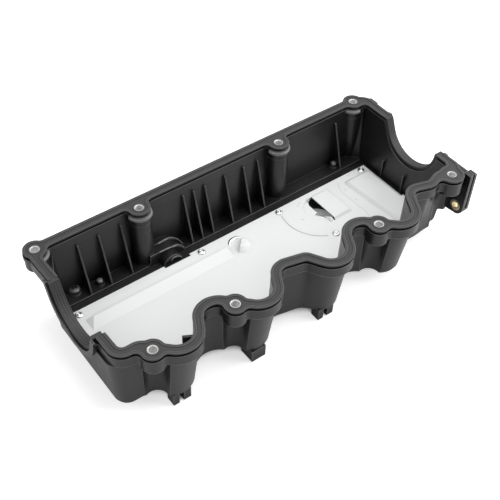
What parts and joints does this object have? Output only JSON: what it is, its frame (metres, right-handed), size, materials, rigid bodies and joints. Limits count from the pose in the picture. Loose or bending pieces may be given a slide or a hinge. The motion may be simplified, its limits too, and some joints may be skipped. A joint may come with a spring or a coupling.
{
  "type": "engine valve cover",
  "caption": "Moulded plastic valve cover for an inline engine, open side up, with scalloped front wall, rubber rim gasket, steel bolt sleeves and an aluminium baffle plate over the floor",
  "frame": {"origin": "the middle of the bounding box, at its lowest level, where the crown side rests", "axes": "+X along the engine, +Y from the scalloped side to the plain side, +Z out of the open side"},
  "size_m": [0.4396, 0.1982, 0.0921],
  "materials": {
    "moulded_cover": "semi-gloss black glass-filled plastic, as moulded",
    "gasket": "dark grey moulded rubber",
    "baffle": "bright pressed sheet",
    "sleeve": "zinc plated, turned",
    "rivet": "bright domed head",
    "insert": "plain turned"
  },
  "bodies": {
    "root": {"cover_body": "moulded_cover", "rim_gasket": "gasket", "baffle_plate": "baffle", "bolt_sleeve_1": "sleeve", "bolt_sleeve_2": "sleeve", "bolt_sleeve_3": "sleeve", "bolt_sleeve_4": "sleeve", "bolt_sleeve_5": "sleeve", "bolt_sleeve_6": "sleeve", "bolt_sleeve_7": "sleeve", "bolt_sleeve_8": "sleeve", "baffle_rivet_1": "rivet", "baffle_rivet_2": "rivet", "baffle_rivet_3": "rivet", "baffle_rivet_4": "rivet", "baffle_rivet_5": "rivet", "baffle_rivet_6": "rivet", "baffle_rivet_7": "rivet", "baffle_rivet_8": "rivet", "baffle_rivet_9": "rivet", "bracket_insert": "insert"}
  },
  "joints": []
}
